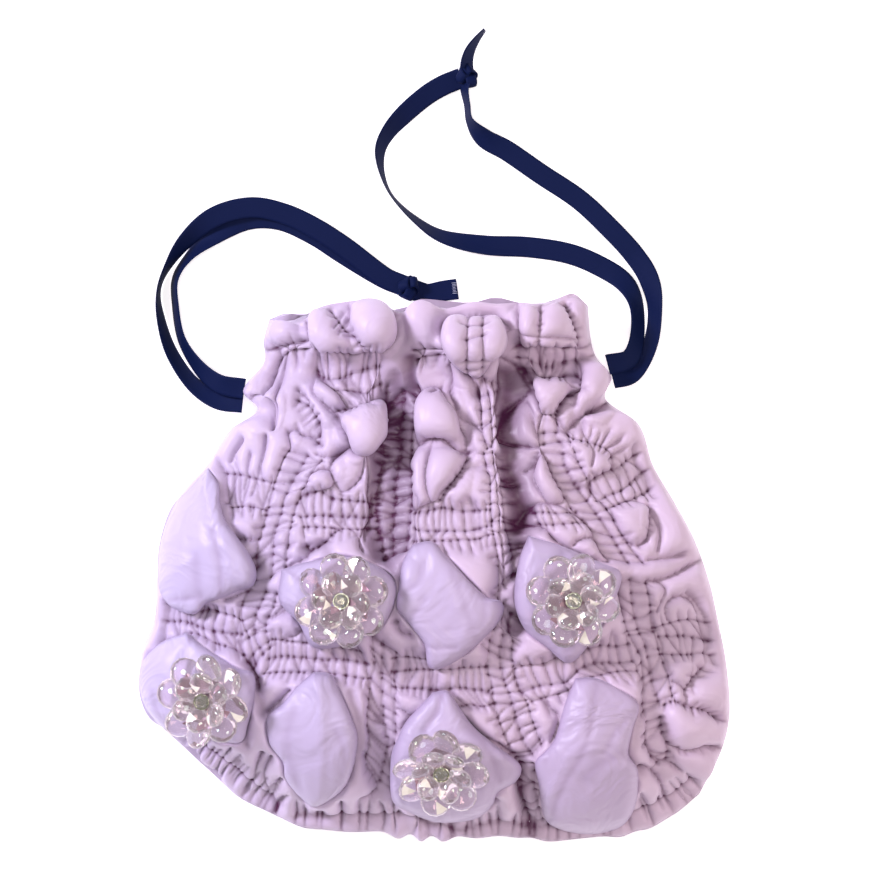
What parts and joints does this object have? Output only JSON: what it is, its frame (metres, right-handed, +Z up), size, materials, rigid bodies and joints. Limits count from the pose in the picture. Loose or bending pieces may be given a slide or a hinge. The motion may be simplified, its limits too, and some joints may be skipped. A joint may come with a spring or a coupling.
{
  "type": "padded drawstring pouch with fabric petals and bead flowers",
  "caption": "Soft padded pouch with a smocked front, fabric petals, cut-bead flowers and ribbon drawstrings, lying on its back.",
  "frame": {"origin": "on the surface it lies on, under the middle of the pouch's box without its ribbons", "axes": "+Z up out of the front face, +Y from the hem to the gathered mouth, +X across to the pouch's right in the view from above"},
  "size_m": [0.2813, 0.3893, 0.0728],
  "materials": {
    "padded_nylon": "soft satin nylon over wadding, smocked",
    "petal_nylon": "smooth satin nylon over wadding",
    "cut_crystal": "clear cut glass with an iridescent coat and a pale metal backing",
    "grosgrain": "matt ribbed ribbon"
  },
  "bodies": {
    "root": {"bag_body": "padded_nylon", "petal_1": "petal_nylon", "petal_2": "petal_nylon", "petal_3": "petal_nylon", "petal_4": "petal_nylon", "petal_5": "petal_nylon", "petal_6": "petal_nylon", "petal_7": "petal_nylon", "petal_8": "petal_nylon", "flower_1_beads": "cut_crystal", "flower_1_stone": "cut_crystal", "flower_2_beads": "cut_crystal", "flower_2_stone": "cut_crystal", "flower_3_beads": "cut_crystal", "flower_3_stone": "cut_crystal", "flower_4_beads": "cut_crystal", "flower_4_stone": "cut_crystal", "ribbon_left_outer": "grosgrain", "ribbon_left_inner": "grosgrain", "ribbon_right_outer": "grosgrain", "ribbon_right_inner": "grosgrain", "tail_left": "grosgrain", "tail_right": "grosgrain", "knot_left": "grosgrain", "knot_right": "grosgrain"}
  },
  "joints": []
}
